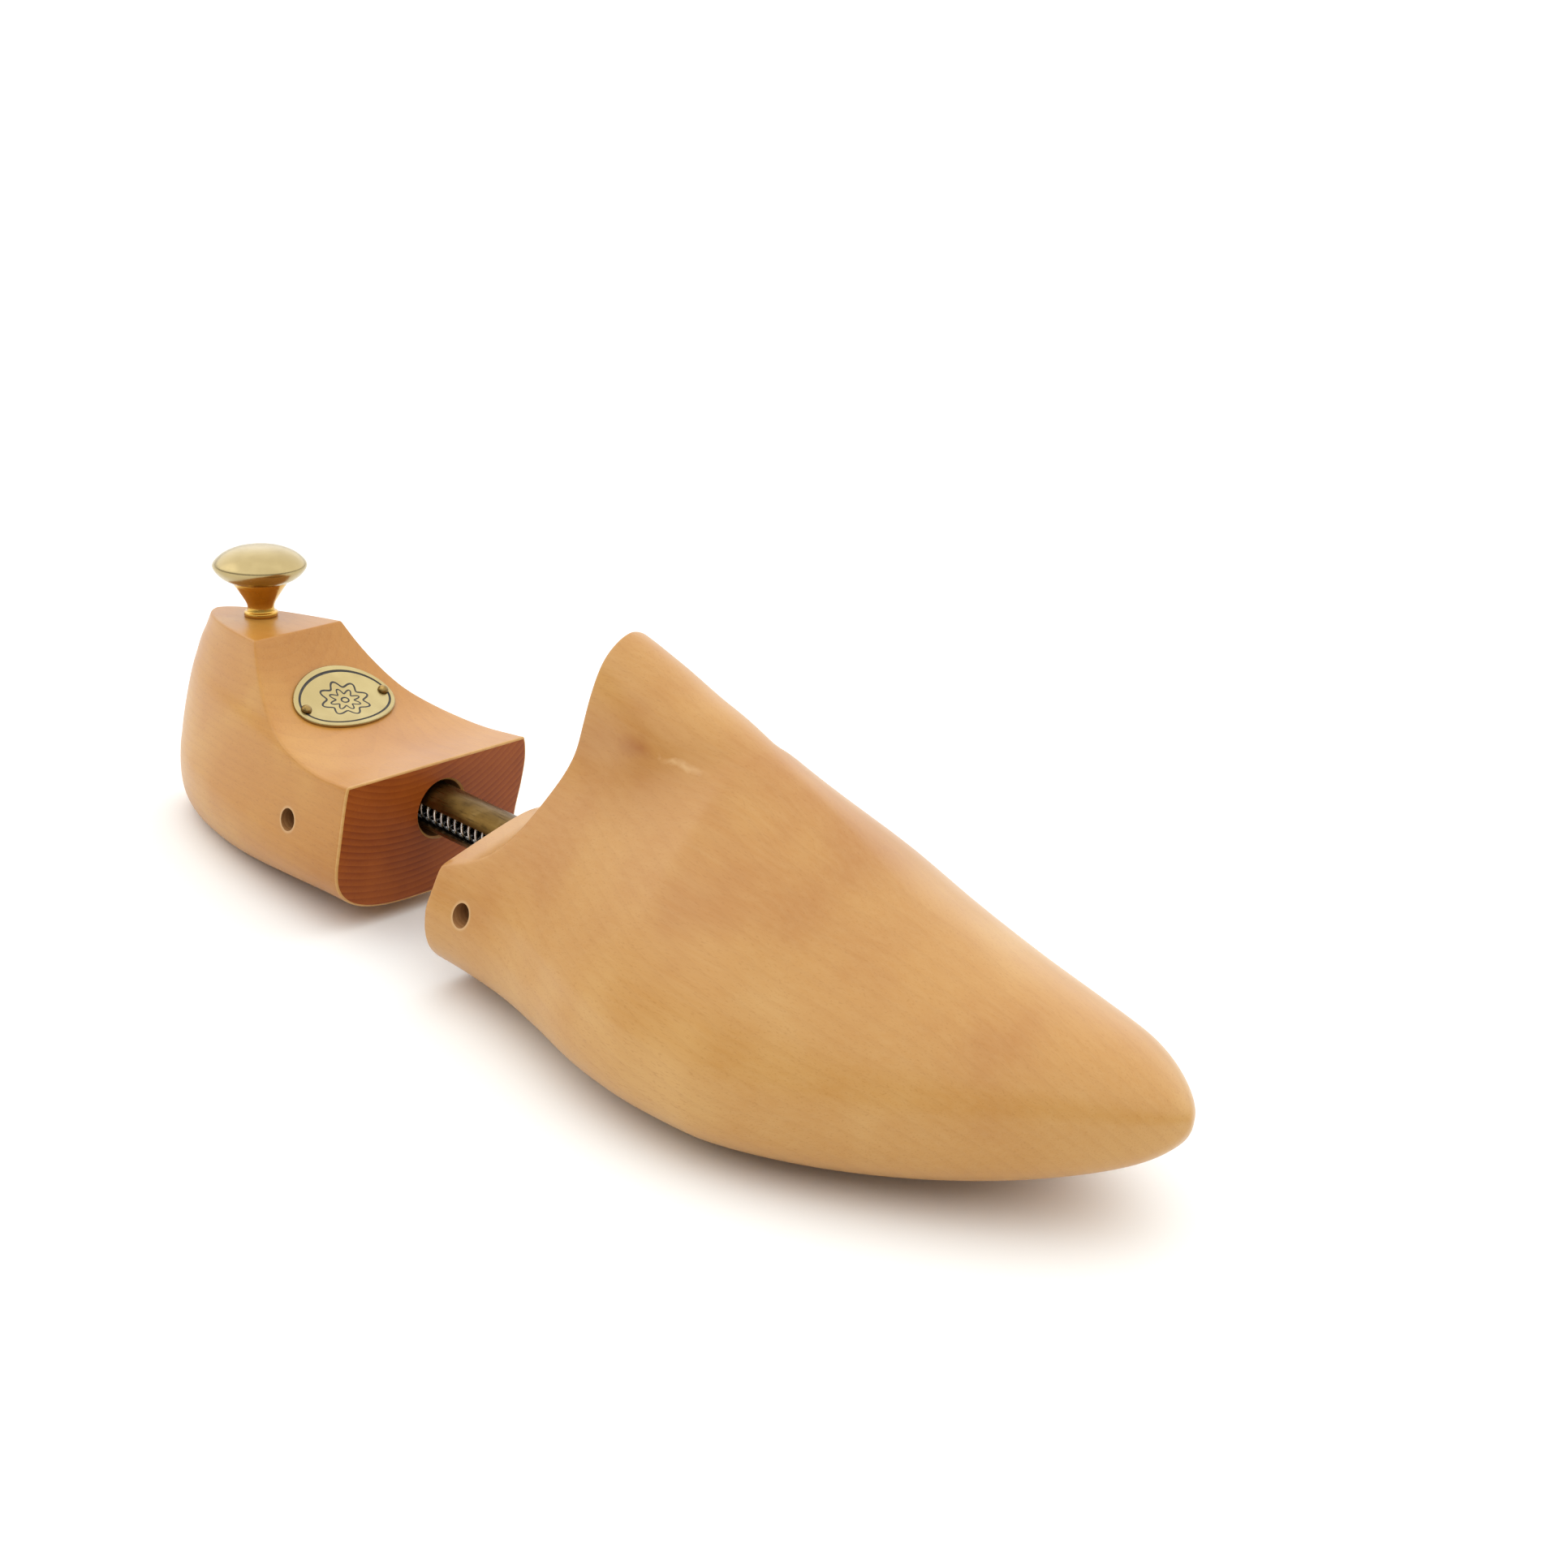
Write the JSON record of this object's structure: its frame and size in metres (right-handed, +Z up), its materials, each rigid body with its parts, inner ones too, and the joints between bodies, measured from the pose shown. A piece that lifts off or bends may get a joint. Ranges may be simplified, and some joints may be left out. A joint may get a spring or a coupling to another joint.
{
  "type": "shoe tree",
  "caption": "Sprung wooden shoe tree for a right shoe: carved forepart and heel block on a slotted brass tube, with a brass pull knob.",
  "frame": {"origin": "centre of the overall box at the floor, with the heel top level across and both blocks standing on their soles", "axes": "+X from heel to toe along the tube, +Y to the inner side of the foot, +Z up; the tube and the slide run along X"},
  "size_m": [0.2884, 0.0906, 0.0853],
  "materials": {
    "forepart_wood": "satin clear varnish on lime wood",
    "heel_wood": "satin clear varnish on lime wood",
    "tarnished_brass": "drawn tube, slightly tarnished",
    "spring_steel": "bright drawn wire",
    "dark_brass": "darkened",
    "polished_brass": "polished",
    "screw_steel": "plain zinc",
    "plate_brass": "polished sheet"
  },
  "bodies": {
    "fore": {"forepart": "forepart_wood", "tube": "tarnished_brass", "spring": "spring_steel", "forepart_pin": "dark_brass"},
    "heel": {"heel_block": "heel_wood", "heel_pin": "dark_brass", "knob_dome": "polished_brass", "knob_neck": "polished_brass", "knob_screw": "screw_steel", "name_plate": "plate_brass", "plate_pin_outer": "dark_brass", "plate_pin_inner": "dark_brass"}
  },
  "joints": [
    {"name": "heel_slide", "type": "slide", "parent": "fore", "child": "heel", "axis": [1, 0, 0], "range_m": [0, 0.024], "stiffness_N_per_m": 800, "springref_m": -0.02, "deforming": ["spring"]}
  ]
}
